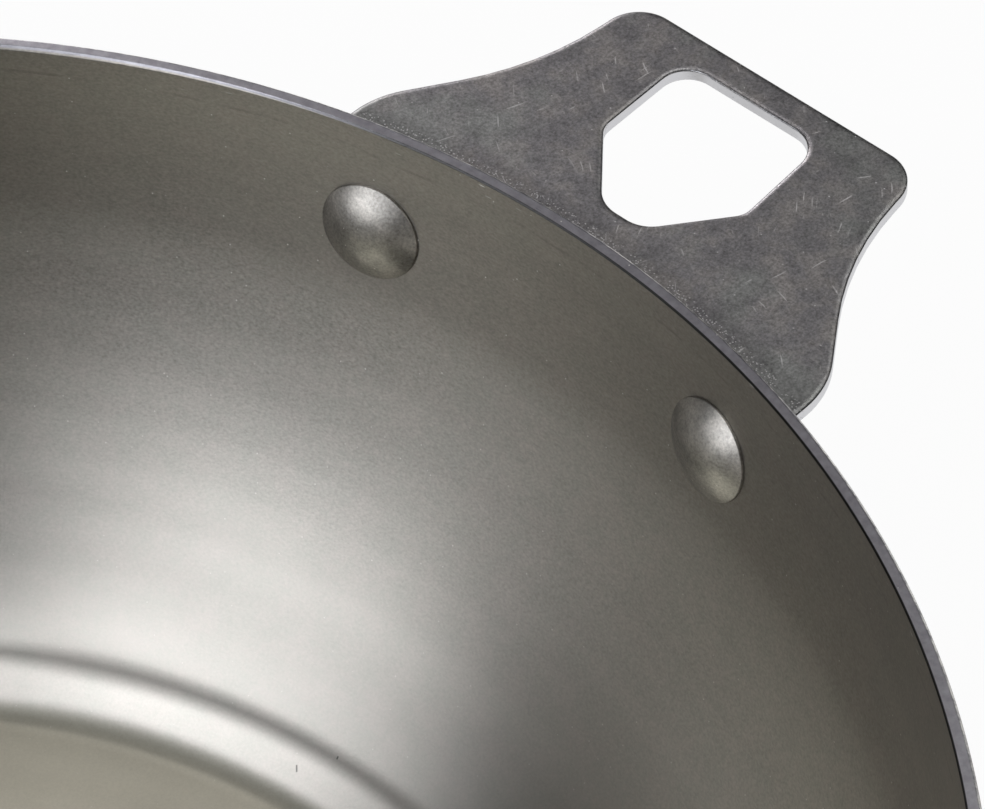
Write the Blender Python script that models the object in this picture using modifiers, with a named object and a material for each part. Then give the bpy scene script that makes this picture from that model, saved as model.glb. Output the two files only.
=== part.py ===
# Steel stewpot: a pressed, riveted pot with two plate handles.
# Metres, +Z up. Origin at the centre of the underside, handles along +X and -X.

import math

import bmesh
import bpy
from mathutils import Matrix, Vector

# Pot body
rim_radius = 0.150          # outer radius at the top edge
pot_height = 0.089          # underside to top edge
sheet = 0.002               # thickness of wall and floor
floor_radius = 0.0957       # flat floor, inside the pressed step
step_foot_radius = 0.0093   # bend from the floor up into the step
step_angle = math.radians(35.0)
step_length = 0.0025        # straight slant of the step
step_brow_radius = 0.0102   # bend from the step over to the shelf
shelf_angle = math.radians(19.8)
wall_foot_radius = 0.0086   # bend from the shelf up into the wall
wall_foot_angle = math.radians(29.5)
wall_top_angle = math.radians(85.8)
wall_foot_share = 0.051     # how long the wall keeps its slope at the foot, of its height
wall_top_share = 0.684      # and below the rim
rim_chamfer = 0.0005        # inner edge of the rim
rim_round = 0.0004          # outer edge of the rim

# Handles
plate = 0.002               # thickness of a handle's plate
plate_drop = 0.0074         # top edge of the pot down to the plate's top face
handle_reach = 0.0423       # plate's outer edge beyond the rim
grip_half_width = 0.0256    # half width at the outer edge
grip_corner_radius = 0.006
waist_reach = 0.024         # where the sides start to spread, beyond the rim
waist_half_width = 0.0277
waist_radius = 0.046
base_reach = 0.0044         # where the sides turn straight again, beyond the rim
base_half_width = 0.0413
base_corner_radius = 0.014
bend_radius = 0.004         # outside of the bend between plate and flange
flange_drop = 0.0275        # top edge of the pot down to the flange's lower edge
flange_corner_radius = 0.008

# Hexagonal opening in each handle's plate
hole_band = 0.0048          # material left outside the opening
hole_outer_half_width = 0.0123
hole_outer_radius = 0.0045
hole_side_length = 0.0166   # radial length of the opening's straight sides
hole_side_half_width = 0.0127
hole_side_radius = 0.0010
hole_taper_length = 0.0110  # radial length of the opening's tapered end
hole_inner_half_width = 0.0035
hole_inner_radius = 0.0025

# Rivets
rivet_drop = 0.0174         # top edge of the pot down to the rivets
rivet_inset = 0.0107        # side of the handle's base to a rivet's axis
shank_radius = 0.0030
head_radius = 0.00755       # domed head inside the pot
head_lip = 0.0004
head_height = 0.0026
tail_radius = 0.0050        # hammered head on the flange
tail_height = 0.0016
tail_bevel = 0.0005

clearance = 0.0003          # gap between pieces that touch

# Cutters and the stock that they cut, as multiples of the size they belong to
cutter_share = 4.0          # a cutter's depth
stock_share = 2.0           # the uncut plate's reach beyond the rim, of handle_reach
plan_share = 0.5            # the plan's run into the pot, of base_half_width

# Mesh resolution
turn_steps = 96
wall_points = 10
step_points = 4
brow_points = 3
flange_points = 3
bend_points = 4
dome_points = 6
rivet_steps = 32
arc_step = math.radians(12)

# Values that follow from the sizes above
plate_top_z = pot_height - plate_drop
flange_bottom_z = pot_height - flange_drop
rivet_z = pot_height - rivet_drop
tail_top = -(sheet + plate + 2.0 * clearance)


def clear_scene():
    for obj in list(bpy.data.objects):
        bpy.data.objects.remove(obj, do_unlink=True)
    for group in list(bpy.data.collections):
        bpy.data.collections.remove(group)


def new_collection(name):
    group = bpy.data.collections.new(name)
    bpy.context.scene.collection.children.link(group)
    return group


def new_steel(name, colour, roughness):
    steel = bpy.data.materials.new(name)
    steel.use_nodes = True
    shader = steel.node_tree.nodes["Principled BSDF"]
    shader.inputs["Base Color"].default_value = (*colour, 1.0)
    shader.inputs["Metallic"].default_value = 1.0
    shader.inputs["Roughness"].default_value = roughness
    return steel


def bent(start, bend_radius, angle, pieces):
    # Places (radius, z, slope) along an arc that turns the slope of start to angle
    radius, z, first = start
    turn = math.copysign(bend_radius, angle - first)
    places = []
    for index in range(1, pieces + 1):
        slope = first + (angle - first) * index / pieces
        across = radius + turn * (math.sin(slope) - math.sin(first))
        places.append((across, z + turn * (math.cos(first) - math.cos(slope)), slope))
    return places


def step_places():
    # Inner face of the pressed step, from the floor's edge to the wall's foot
    places = [(floor_radius, sheet, 0.0)]
    places += bent(places[-1], step_foot_radius, step_angle, step_points)
    radius, z, slope = places[-1]
    run = step_length * math.cos(slope)
    places.append((radius + run, z + step_length * math.sin(slope), slope))
    places += bent(places[-1], step_brow_radius, shelf_angle, brow_points)
    places += bent(places[-1], wall_foot_radius, wall_foot_angle, brow_points)
    return places


def wall_place(share):
    # Place on the inner wall's curve, a cubic Bezier from its foot at 0 to the rim at 1
    foot = Vector(step_places()[-1][:2])
    top = Vector((rim_radius - sheet, pot_height))
    rise = top.y - foot.y
    low = foot + rise * wall_foot_share * Vector((math.cos(wall_foot_angle), math.sin(wall_foot_angle)))
    high = top - rise * wall_top_share * Vector((math.cos(wall_top_angle), math.sin(wall_top_angle)))
    rest = 1.0 - share
    point = rest ** 3 * foot + 3.0 * rest ** 2 * share * low
    point += 3.0 * rest * share ** 2 * high + share ** 3 * top
    along = rest ** 2 * (low - foot) + 2.0 * rest * share * (high - low) + share ** 2 * (top - high)
    return point.x, point.y, math.atan2(along.y, along.x)


def wall_share_at(z):
    # Where along the wall's curve it reaches the height z, by halving
    low, high = 0.0, 1.0
    while high - low > 1e-9:
        middle = (low + high) / 2.0
        if wall_place(middle)[1] < z:
            low = middle
        else:
            high = middle
    return low


def moved(place, offset):
    # Point at a distance out of the pot, square to the inner face
    radius, z, slope = place
    return radius + offset * math.sin(slope), z - offset * math.cos(slope)


def wall_point(share, offset=0.0):
    return moved(wall_place(share), offset)


def pot_profile():
    # Up the inside from the floor's centre, over the rim and down the outside
    places = step_places() + [wall_place(index / wall_points) for index in range(1, wall_points)]
    inside = [(0.0, sheet)] + [moved(place, 0.0) for place in places]
    rim = [
        (rim_radius - sheet, pot_height - rim_chamfer),
        (rim_radius - sheet + rim_chamfer, pot_height),
        (rim_radius - rim_round, pot_height),
        (rim_radius, pot_height - rim_round),
    ]
    outside = [moved(place, sheet) for place in reversed(places)] + [(0.0, 0.0)]
    return inside + rim + outside


def handle_profile():
    # Section of flange, bend and plate, which is wider than the plate will be
    bend_z = plate_top_z - bend_radius
    low = wall_share_at(flange_bottom_z)
    high = wall_share_at(bend_z)
    shares = [low + (high - low) * index / flange_points for index in range(flange_points + 1)]
    near = sheet + clearance
    far = near + plate
    inner_face = [wall_point(share, near) for share in shares]
    outer_face = [wall_point(share, far) for share in reversed(shares)]
    centre = inner_face[-1][0] + bend_radius
    brim = rim_radius + stock_share * handle_reach
    bend = [math.pi - math.pi / 2.0 * index / bend_points for index in range(1, bend_points + 1)]
    top_bend = [
        (centre + bend_radius * math.cos(a), bend_z + bend_radius * math.sin(a)) for a in bend
    ]
    under = bend_radius - plate
    under_bend = [
        (centre + under * math.cos(a), bend_z + under * math.sin(a)) for a in reversed(bend)
    ]
    edge = [(brim, plate_top_z), (brim, plate_top_z - plate)]
    return inner_face + top_bend + edge + under_bend + outer_face


def rivet_profile():
    # Domed head, lip, shank and hammered head, from top to bottom
    # The head's flat seat clears the wall, which curves towards it at the sides
    wall_radius = wall_point(wall_share_at(rivet_z))[0]
    seat = clearance + head_radius ** 2 / (2.0 * wall_radius)
    rise = head_height - head_lip
    dome_radius = (head_radius ** 2 + rise ** 2) / (2.0 * rise)
    dome_angle = math.asin(head_radius / dome_radius)
    dome_centre = seat + head_height - dome_radius
    head = []
    for index in range(dome_points + 1):
        angle = dome_angle * index / dome_points
        head.append((dome_radius * math.sin(angle), dome_centre + dome_radius * math.cos(angle)))
    return head + [
        (head_radius, seat),
        (shank_radius, seat),
        (shank_radius, tail_top),
        (tail_radius, tail_top),
        (tail_radius, tail_top - tail_height + tail_bevel),
        (tail_radius - tail_bevel, tail_top - tail_height),
        (0.0, tail_top - tail_height),
    ]


def turned(name, profile, steps, closed, group):
    # Solid of revolution about Z from a profile of (radius, z) pairs
    mesh = bpy.data.meshes.new(name)
    points = [(radius, 0.0, z) for radius, z in profile]
    edges = [(index, index + 1) for index in range(len(points) - 1)]
    if closed:
        edges.append((len(points) - 1, 0))
    mesh.from_pydata(points, edges, [])
    obj = bpy.data.objects.new(name, mesh)
    group.objects.link(obj)
    screw = obj.modifiers.new("Turn", "SCREW")
    screw.axis = "Z"
    screw.steps = steps
    screw.render_steps = steps
    screw.use_merge_vertices = True
    screw.merge_threshold = 0.00001
    screw.use_smooth_shade = True
    return obj


def filleted(corners):
    # Outline from (x, y, radius) corners, with each corner replaced by an arc
    outline = []
    count = len(corners)
    for index, (x, y, radius) in enumerate(corners):
        corner = Vector((x, y))
        before = (Vector(corners[index - 1][:2]) - corner).normalized()
        after = (Vector(corners[(index + 1) % count][:2]) - corner).normalized()
        if radius == 0.0:
            outline.append((x, y))
            continue
        half = before.angle(after) / 2.0
        centre = corner + (before + after).normalized() * radius / math.sin(half)
        start = corner + before * radius / math.tan(half) - centre
        sweep = start.angle_signed(corner + after * radius / math.tan(half) - centre)
        pieces = max(2, math.ceil(abs(sweep) / arc_step))
        for piece in range(pieces + 1):
            # angle_signed is clockwise, so a turn by it is clockwise too
            turn = Matrix.Rotation(-sweep * piece / pieces, 2)
            outline.append(tuple(centre + turn @ start))
    return outline


def prism(name, outlines, depth, group):
    # Mesh of flat outlines extruded to depth, centred on z = 0
    curve = bpy.data.curves.new(name, "CURVE")
    curve.dimensions = "2D"
    curve.fill_mode = "BOTH"
    curve.extrude = depth / 2.0
    for outline in outlines:
        spline = curve.splines.new("POLY")
        spline.points.add(len(outline) - 1)
        for point, (x, y) in zip(spline.points, outline):
            point.co = (x, y, 0.0, 1.0)
        spline.use_cyclic_u = True
    source = bpy.data.objects.new(name, curve)
    group.objects.link(source)
    bpy.context.view_layer.update()
    evaluated = source.evaluated_get(bpy.context.evaluated_depsgraph_get())
    mesh = bpy.data.meshes.new_from_object(evaluated)
    shape = bmesh.new()
    shape.from_mesh(mesh)
    bmesh.ops.remove_doubles(shape, verts=shape.verts, dist=0.000001)
    shape.to_mesh(mesh)
    shape.free()
    bpy.data.objects.remove(source)
    obj = bpy.data.objects.new(name, mesh)
    group.objects.link(obj)
    return obj


def as_cutter(obj):
    obj.hide_render = True
    obj.display_type = "WIRE"
    return obj


def cut(obj, cutter, operation):
    step = obj.modifiers.new(cutter.name, "BOOLEAN")
    step.operation = operation
    step.solver = "EXACT"
    step.object = cutter


def plan_outline():
    # Handle seen from above: the straight stretch runs into the pot, where the profile ends it
    side = [
        (rim_radius + handle_reach, grip_half_width, grip_corner_radius),
        (rim_radius + waist_reach, waist_half_width, waist_radius),
        (rim_radius + base_reach, base_half_width, base_corner_radius),
        (rim_radius - plan_share * base_half_width, base_half_width, 0.0),
    ]
    other = [(x, -y, radius) for x, y, radius in reversed(side)]
    return filleted(side + other)


def hole_outline():
    outer = rim_radius + handle_reach - hole_band
    shoulder = outer - hole_side_length
    inner = shoulder - hole_taper_length
    side = [
        (outer, hole_outer_half_width, hole_outer_radius),
        (shoulder, hole_side_half_width, hole_side_radius),
        (inner, hole_inner_half_width, hole_inner_radius),
    ]
    other = [(x, -y, radius) for x, y, radius in reversed(side)]
    return filleted(side + other)


def front_outline():
    # Handle seen along X, in (z, y): it rounds the flange's lower corners and leaves the plate whole
    top = plate_top_z + plate
    side = [
        (top, base_half_width + plate, 0.0),
        (plate_top_z - plate, base_half_width + plate, 0.0),
        (plate_top_z - plate, base_half_width, 0.0),
        (flange_bottom_z, base_half_width, flange_corner_radius),
    ]
    other = [(z, -y, radius) for z, y, radius in reversed(side)]
    return filleted(side + other)


def rivet_half_angle():
    # From the handle's middle to a rivet, which keeps its distance to the base's side
    radius = wall_point(wall_share_at(rivet_z))[0]
    return math.asin((base_half_width - rivet_inset) / radius)


def rivet_frame(turn):
    # Local Z points into the pot, square to the wall, with the origin on the inner wall
    radius, z, slope = wall_place(wall_share_at(rivet_z))
    inward = Vector((-math.sin(slope), 0.0, math.cos(slope)))
    around = Matrix.Rotation(turn, 4, "Z")
    tilt = inward.to_track_quat("Z", "Y").to_matrix().to_4x4()
    return around @ Matrix.Translation((radius, 0.0, z)) @ tilt


def make_rivet_cutter(name, turn, group):
    mesh = bpy.data.meshes.new(name)
    shape = bmesh.new()
    bmesh.ops.create_cone(
        shape, cap_ends=True, segments=rivet_steps, radius1=shank_radius + clearance,
        radius2=shank_radius + clearance, depth=cutter_share * (sheet + plate))
    shape.to_mesh(mesh)
    shape.free()
    cutter = bpy.data.objects.new(name, mesh)
    cutter.matrix_world = rivet_frame(turn)
    group.objects.link(cutter)
    return as_cutter(cutter)


def make_rivet(name, turn, steel, group):
    rivet = turned(name, rivet_profile(), rivet_steps, False, group)
    rivet.matrix_world = rivet_frame(turn)
    rivet.data.materials.append(steel)
    return rivet


def make_pot(steel, cutters, group):
    pot = turned("pot_body", pot_profile(), turn_steps, False, group)
    pot.data.materials.append(steel)
    for cutter in cutters:
        cut(pot, cutter, "DIFFERENCE")
    return pot


def make_handle(name, turn, steel, rivet_cutters, group, cutter_group):
    handle = turned(name, handle_profile(), turn_steps, True, group)
    handle.data.materials.append(steel)
    handle.rotation_euler.z = turn
    outlines = [plan_outline(), hole_outline()]
    plan = prism(name + "_plan", outlines, cutter_share * flange_drop, cutter_group)
    plan.matrix_world = Matrix.Rotation(turn, 4, "Z") @ Matrix.Translation((0.0, 0.0, plate_top_z))
    front = prism(name + "_front", [front_outline()], cutter_share * rim_radius, cutter_group)
    # A quarter turn stands the outline up: its x becomes world Z, and its depth runs along X
    stand = Matrix.Rotation(math.radians(-90.0), 4, "Y")
    front.matrix_world = Matrix.Rotation(turn, 4, "Z") @ stand
    cut(handle, as_cutter(plan), "INTERSECT")
    cut(handle, as_cutter(front), "INTERSECT")
    for cutter in rivet_cutters:
        cut(handle, cutter, "DIFFERENCE")
    return handle


def main():
    clear_scene()
    parts = new_collection("Stewpot")
    cutters = new_collection("Cutters")
    pot_steel = new_steel("pot_steel", (0.30, 0.29, 0.26), 0.36)
    handle_steel = new_steel("handle_steel", (0.22, 0.21, 0.21), 0.42)
    rivet_steel = new_steel("rivet_steel", (0.42, 0.41, 0.39), 0.34)

    all_cutters = []
    for side, turn in (("right", 0.0), ("left", math.pi)):
        own_cutters = []
        for place, sign in (("a", -1.0), ("b", 1.0)):
            angle = turn + sign * rivet_half_angle()
            own_cutters.append(make_rivet_cutter(f"rivet_hole_{side}_{place}", angle, cutters))
            make_rivet(f"rivet_{side}_{place}", angle, rivet_steel, parts)
        make_handle(f"handle_{side}", turn, handle_steel, own_cutters, parts, cutters)
        all_cutters += own_cutters
    make_pot(pot_steel, all_cutters, parts)


main()
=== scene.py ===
import math

import bmesh
import bpy
import numpy as np
from mathutils import Matrix, Vector, geometry


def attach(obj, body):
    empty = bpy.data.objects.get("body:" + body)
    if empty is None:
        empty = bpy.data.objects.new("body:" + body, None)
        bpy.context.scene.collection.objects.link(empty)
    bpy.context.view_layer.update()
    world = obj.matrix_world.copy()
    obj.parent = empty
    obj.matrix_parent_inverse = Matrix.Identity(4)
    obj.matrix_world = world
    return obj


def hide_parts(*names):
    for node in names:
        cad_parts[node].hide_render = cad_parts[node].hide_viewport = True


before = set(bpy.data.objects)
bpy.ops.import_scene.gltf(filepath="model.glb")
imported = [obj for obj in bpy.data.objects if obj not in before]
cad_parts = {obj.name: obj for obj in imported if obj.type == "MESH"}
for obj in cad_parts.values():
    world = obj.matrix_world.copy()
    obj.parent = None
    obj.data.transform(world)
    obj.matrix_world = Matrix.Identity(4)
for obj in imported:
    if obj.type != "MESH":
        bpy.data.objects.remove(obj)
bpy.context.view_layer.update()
print("frame loaded")


# Node trees

spotCore = 0.5  # share of a spot's radius that has its full strength
strokeCore = 0.3  # the same for half the width of a stroke


class Wire:
    # One output socket. Arithmetic on it adds Math nodes to its tree.
    def __init__(self, graph, socket):
        self.graph = graph
        self.socket = socket

    def maths(self, operation, *values):
        return self.graph.node("ShaderNodeMath", {"operation": operation}, dict(enumerate(values)))

    def __add__(self, other):
        return self.maths("ADD", self, other)

    def __radd__(self, other):
        return self.maths("ADD", other, self)

    def __sub__(self, other):
        return self.maths("SUBTRACT", self, other)

    def __rsub__(self, other):
        return self.maths("SUBTRACT", other, self)

    def __mul__(self, other):
        return self.maths("MULTIPLY", self, other)

    def __rmul__(self, other):
        return self.maths("MULTIPLY", other, self)

    def __truediv__(self, other):
        return self.maths("DIVIDE", self, other)

    def __rtruediv__(self, other):
        return self.maths("DIVIDE", other, self)


class Graph:
    def __init__(self, tree):
        self.tree = tree

    def node(self, kind, settings=None, sockets=None, output=0):
        node = self.tree.nodes.new(kind)
        for name, value in (settings or {}).items():
            setattr(node, name, value)
        for key, value in (sockets or {}).items():
            self.feed(node.inputs[key], value)
        return Wire(self, node.outputs[output]) if node.outputs else None

    def feed(self, socket, value):
        if isinstance(value, Wire):
            self.tree.links.new(value.socket, socket)
        else:
            socket.default_value = value

    def noise(self, where, scale, detail=2.0, roughness=0.5, shift=0.0):
        settings = {"noise_dimensions": "4D"}
        sockets = {"Vector": where, "W": shift, "Scale": scale, "Detail": detail, "Roughness": roughness}
        return self.node("ShaderNodeTexNoise", settings, sockets)

    def ease(self, value, low, high):
        # 0 below low, 1 above high, smooth between
        settings = {"interpolation_type": "SMOOTHSTEP"}
        sockets = {"Value": value, "From Min": low, "From Max": high}
        return self.node("ShaderNodeMapRange", settings, sockets)

    def spots(self, where, cells, reach, dimensions="3D"):
        # Small round spots at the middles of random cells, their radius as a share of a cell
        settings = {"voronoi_dimensions": dimensions}
        gap = self.node("ShaderNodeTexVoronoi", settings, {"Vector": where, "Scale": cells}, "Distance")
        return 1.0 - self.ease(gap, reach * spotCore, reach)

    def stroke(self, x, y, start, end, width):
        # A straight thin mark seen from above, 1 on its line and 0 beside it
        length = math.hypot(end[0] - start[0], end[1] - start[1])
        turn = ((end[0] - start[0]) / length, (end[1] - start[1]) / length)
        fromX, fromY = x - start[0], y - start[1]
        along = fromX * turn[0] + fromY * turn[1]
        beside = fromX * turn[1] - fromY * turn[0]
        beside = beside.maths("ABSOLUTE", beside)
        inside = self.ease(along, 0.0, width) * (1.0 - self.ease(along, length - width, length))
        return (1.0 - self.ease(beside, width * strokeCore, width)) * inside

    def radiusOf(self, x, y):
        flat = x * x + y * y
        return flat.maths("SQRT", flat)

    def tint(self, share, first, second, blend="MIX"):
        settings = {"data_type": "RGBA", "blend_type": blend}
        return self.node("ShaderNodeMix", settings, {0: share, 6: first, 7: second}, 2)

    def parts(self, vector):
        node = self.tree.nodes.new("ShaderNodeSeparateXYZ")
        self.feed(node.inputs[0], vector)
        return [Wire(self, output) for output in node.outputs]

    def join(self, x, y, z):
        return self.node("ShaderNodeCombineXYZ", None, {0: x, 1: y, 2: z})

    def shade(self, colour, level):
        return self.tint(1.0, colour, self.join(level, level, level), "MULTIPLY")

    def swing(self, noises, shares):
        # Sum of noises about zero, each times its share
        total = 0.0
        for name, share in shares.items():
            total = total + (noises[name] - 0.5) * share
        return total

    def bump(self, height, distance, strength):
        sockets = {"Height": height, "Distance": distance, "Strength": strength}
        return self.node("ShaderNodeBump", None, sockets)


def newMaterial(name):
    material = bpy.data.materials.new(name)
    material.use_nodes = True
    material.node_tree.nodes.clear()
    return material, Graph(material.node_tree)


def finishMaterial(graph, sockets):
    shader = graph.node("ShaderNodeBsdfPrincipled", None, sockets)
    graph.node("ShaderNodeOutputMaterial", None, {"Surface": shader})


def newTree(name, inputs):
    # Geometry tree with a geometry input and output, and one named input for each size
    tree = bpy.data.node_groups.new(name, "GeometryNodeTree")
    tree.interface.new_socket("Geometry", in_out="INPUT", socket_type="NodeSocketGeometry")
    for label, kind in inputs.items():
        tree.interface.new_socket(label, in_out="INPUT", socket_type="NodeSocket" + kind)
    tree.interface.new_socket("Geometry", in_out="OUTPUT", socket_type="NodeSocketGeometry")
    graph = Graph(tree)
    entry = tree.nodes.new("NodeGroupInput")
    wires = {socket.name: Wire(graph, socket) for socket in entry.outputs if socket.name}
    return tree, graph, wires


def endTree(graph, shape, material):
    shape = graph.node("GeometryNodeRealizeInstances", None, {"Geometry": shape})
    shape = graph.node("GeometryNodeSetShadeSmooth", None, {"Geometry": shape, "Shade Smooth": True})
    shape = graph.node("GeometryNodeSetMaterial", None, {"Geometry": shape, "Material": material})
    graph.node("NodeGroupOutput", None, {0: shape})


def link(obj):
    bpy.context.scene.collection.objects.link(obj)
    return obj


def sourceObject(name, points, edges=()):
    mesh = bpy.data.meshes.new(name)
    mesh.from_pydata(points, edges, [])
    return link(bpy.data.objects.new(name, mesh))


def grown(source, tree, values, name):
    # Runs the tree on the source and keeps the result as a plain mesh
    modifier = source.modifiers.new("Grow", "NODES")
    modifier.node_group = tree
    for item in tree.interface.items_tree:
        if item.in_out == "INPUT" and item.name in values:
            modifier[item.identifier] = values[item.name]
    source.update_tag()
    bpy.context.view_layer.update()
    evaluated = source.evaluated_get(bpy.context.evaluated_depsgraph_get())
    mesh = bpy.data.meshes.new_from_object(evaluated)
    bpy.data.objects.remove(source)
    mesh.name = name
    faceOut(mesh)
    return link(bpy.data.objects.new(name, mesh))


def faceOut(mesh):
    # A closed mesh whose volume comes out negative is inside out
    mesh.calc_loop_triangles()
    points = np.zeros(len(mesh.vertices) * 3)
    mesh.vertices.foreach_get("co", points)
    corners = np.zeros(len(mesh.loop_triangles) * 3, int)
    mesh.loop_triangles.foreach_get("vertices", corners)
    triangles = points.reshape(-1, 3)[corners.reshape(-1, 3)]
    crossed = np.cross(triangles[:, 1], triangles[:, 2])
    volume = (triangles[:, 0] * crossed).sum() / 6.0
    if volume < 0.0:
        mesh.flip_normals()
    print(mesh.name, "triangles", len(triangles), "cubic centimetres", round(abs(volume) * 1e6, 2))


def place(piece, slot, *nodes):
    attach(piece, "root")
    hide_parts(*nodes)


# Camera

cameraView = {
    "place": (-0.25087, -0.36693, 0.68345),
    "forward": (0.471339, 0.450589, -0.758162),
    "right": (0.664771, -0.746431, -0.030338),
    "focalPixels": 6000.0,
    "framePixels": 985.0,
    "sensor": 36.0,
    "near": 0.05,
    "far": 20.0,
}


def addCamera():
    data = bpy.data.cameras.new("camera")
    data.sensor_fit = "HORIZONTAL"
    data.sensor_width = cameraView["sensor"]
    data.lens = cameraView["sensor"] * cameraView["focalPixels"] / cameraView["framePixels"]
    data.clip_start = cameraView["near"]
    data.clip_end = cameraView["far"]
    eye = link(bpy.data.objects.new("camera", data))
    forward = Vector(cameraView["forward"]).normalized()
    right = Vector(cameraView["right"]).normalized()
    up = right.cross(forward)
    turn = np.array([right, up, -forward]).T
    eye.matrix_world = Matrix.Translation(cameraView["place"]) @ Matrix(turn.tolist()).to_4x4()
    bpy.context.scene.camera = eye


addCamera()
print("camera placed")


# Steel

# Noises have cells per metre, zones are pairs of lengths in metres, shares are weights of a noise
potFinish = {
    "olive": (0.434, 0.418, 0.383, 1.0),
    "rose": (0.446, 0.414, 0.383, 1.0),
    "moss": (0.424, 0.420, 0.380, 1.0),
    "oliveShare": 0.6,
    "roseRange": (0.38, 0.62),
    # the floor's own olive tint, made brighter as painted light
    "floorTintAndLight": (0.480, 0.466, 0.385, 1.0),
    "floorZone": (0.0022, 0.0034),  # the floor's tint and painted light end in the foot of the step
    "paintedUpperShade": (0.79, 0.775, 0.768, 1.0),
    "upperShadeZone": (0.055, 0.065),  # painted shade darkens the wall above the middle
    "grain": {"scale": 2800.0, "detail": 2.0, "roughness": 0.55},
    "flecks": {"scale": 1400.0, "detail": 2.0, "roughness": 0.6, "shift": 3.0},
    "patches": {"scale": 210.0, "detail": 2.0, "roughness": 0.5, "shift": 1.0},
    "clouds": {"scale": 45.0, "detail": 3.0, "roughness": 0.55, "shift": 9.0},
    "bands": {"scale": 110.0, "detail": 2.0, "roughness": 0.5, "shift": 5.0},
    "grainStretch": 0.65,  # cells are longer round the pot
    "bandStretch": 0.04,  # soft rings up the wall
    "fineShares": {"grain": 0.65, "flecks": 0.25},
    "softShares": {"clouds": 0.16, "patches": 0.10, "bands": 0.22},
    "smoothZone": (0.008, 0.045),  # the grain is fainter on the lower wall
    "smoothLeft": 0.35,
    "slantZone": (0.0056, 0.0068),  # painted highlight on the step's sloping face, up to here
    "paintedSlantHighlight": 0.16,
    "footZones": ((0.00204, 0.0022), (0.0027, 0.0034)),  # and its foot is darker
    "footShade": 0.16,
    "lineDrop": 0.0042,  # a faint wavy line this far below the rim
    "lineWave": {"scale": 60.0, "detail": 2.0, "roughness": 0.6, "shift": 8.0},
    "lineSwing": 0.003,
    "lineZone": (0.00012, 0.0003),
    "linePatches": (0.4, 0.6),
    "lineShade": 0.15,
    "speck": (0.90, 0.89, 0.86, 1.0),
    "speckCells": 420.0,
    "speckReach": 0.06,
    "markShare": 0.8,
    "burrZone": (-0.0035, -0.001),  # from the rim
    "burrCells": 620.0,
    "burrStretch": 0.16,
    "burrReach": 0.07,
    "burrGroups": {"scale": 120.0, "detail": 1.0, "roughness": 0.5, "shift": 6.0},
    "burrPatches": (0.5, 0.6),
    "nicks": (  # two short dents on the step, drawn in painted shade, from the pot's middle
        ((0.1026, 0.0127), (0.1018, 0.0120)),
        ((0.1066, 0.0082), (0.1060, 0.0080)),
    ),
    "nickWidth": 0.00018,
    "nickShare": 0.75,
    # near-black painted shade, for the inner chamfer's line and the dents
    "paintedShade": (0.06, 0.06, 0.06, 1.0),
    "cutEdge": (0.360, 0.357, 0.385, 1.0),
    "cutZone": (-0.00035, -0.0002),  # from the rim's height
    "worn": {"scale": 650.0, "detail": 3.0, "roughness": 0.65, "shift": 11.0},
    "wornLevel": (0.55, 0.9),  # darkest level and swing of the worn edge
    "outerHighlightZone": (-0.0005, -0.0003),  # painted highlight along the outer round, from the rim's radius
    "highlightPatches": (0.4, 0.6),
    # painted shade along the inner chamfer, from the rim's radius
    "innerShadeZone": (-0.0018, -0.0017),
    "roughness": 0.35,
    "roughnessSwing": 0.08,
    "speckRoughness": 0.8,
    "anisotropy": 0.64,
    "anisotropyTurn": 0.25,
    "bumpDepth": 0.00002,
    "bumpStrength": 0.6,
}

handleFinish = {
    "grey": (0.312, 0.308, 0.316, 1.0),
    "warm": (0.320, 0.309, 0.302, 1.0),
    "moss": (0.300, 0.309, 0.302, 1.0),
    "warmRange": (0.42, 0.62),
    "mossRange": (0.48, 0.62),
    "fine": {"scale": 2900.0, "detail": 3.0, "roughness": 0.6},
    "patches": {"scale": 210.0, "detail": 3.0, "roughness": 0.6, "shift": 2.0},
    "clouds": {"scale": 55.0, "detail": 3.0, "roughness": 0.6, "shift": 7.0},
    "grit": {"scale": 1200.0, "detail": 2.0, "roughness": 0.7, "shift": 5.0},
    "shares": {"fine": 1.6, "grit": 0.9, "patches": 0.35, "clouds": 0.25},
    "rimStart": 0.0053,  # where the plate comes out from under the rim in the photo
    "rimSlope": 0.026,
    "rimReach": 0.0034,
    "rimShade": 0.25,
    "burrCells": 2400.0,
    "burrReach": 0.34,
    "burrRange": (0.85, 0.99),
    "speck": (0.85, 0.85, 0.85, 1.0),
    "speckCells": 520.0,
    "speckReach": 0.07,
    "scratchBend": {"scale": 55.0, "detail": 1.0, "roughness": 0.5, "shift": 4.0},
    "scratchSwing": 0.02,
    "scratchStretch": 0.07,
    "scratchCells": 620.0,
    "scratchReach": 0.08,
    "crossSlope": 0.4,  # a second set of scratches runs across the first
    "crossCells": 496.0,
    "crossReach": 0.07,
    "scratchPatches": (0.48, 0.6),
    "scratchShare": 0.6,
    "markShare": 0.8,
    "cutEdge": (0.62, 0.62, 0.64, 1.0),
    "roughness": 0.36,
    "roughnessSwing": 0.2,
    "speckRoughness": 0.8,
    "bumpDepth": 0.00003,
    "bumpStrength": 0.5,
}

rivetFinish = {
    "bright": (0.480, 0.460, 0.425, 1.0),
    "dull": (0.380, 0.366, 0.340, 1.0),
    "brightRange": (0.35, 0.65),
    "fine": {"scale": 2600.0, "detail": 3.0, "roughness": 0.6},
    "patches": {"scale": 320.0, "detail": 2.0, "roughness": 0.5, "shift": 3.0},
    "shares": {"fine": 1.4, "patches": 0.2},
    "speck": (0.88, 0.87, 0.84, 1.0),
    "speckCells": 620.0,
    "speckReach": 0.08,
    "roughness": 0.40,
    "roughnessSwing": 0.12,
    "bumpDepth": 0.00004,
    "bumpStrength": 0.6,
}


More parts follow.
